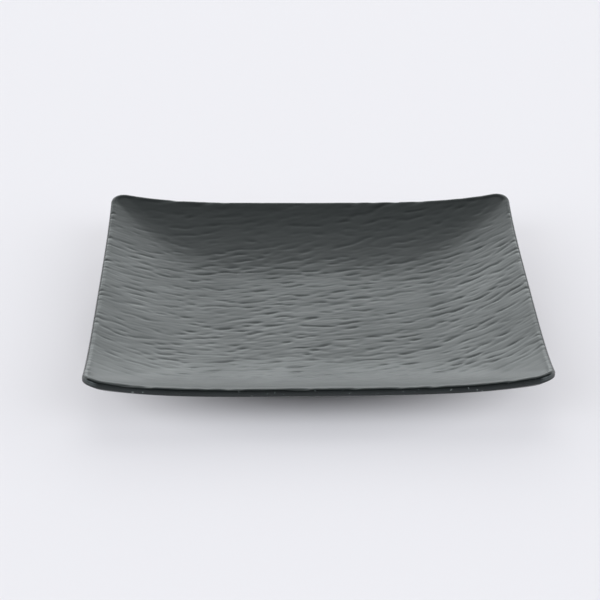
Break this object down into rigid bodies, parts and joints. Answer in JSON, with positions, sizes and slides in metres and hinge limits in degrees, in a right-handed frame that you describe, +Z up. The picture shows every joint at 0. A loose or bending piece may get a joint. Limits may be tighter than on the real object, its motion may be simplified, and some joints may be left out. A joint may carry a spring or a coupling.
{
  "type": "square dinner plate",
  "caption": "Square black dinner plate with a shallow rippled dish, curved walls that rise to raised corners, a rounded lip and a foot ring underneath.",
  "frame": {"origin": "centre of the plate on the plane that its foot ring stands on", "axes": "+Z up, out of the dish; X and Y along the plate's straight sides"},
  "size_m": [0.255, 0.255, 0.0337],
  "materials": {
    "body": "satin black moulded melamine",
    "face": "matte black moulded melamine with a fine rippled surface"
  },
  "bodies": {
    "root": {"plate_body": "body", "face_layer": "face"}
  },
  "joints": []
}
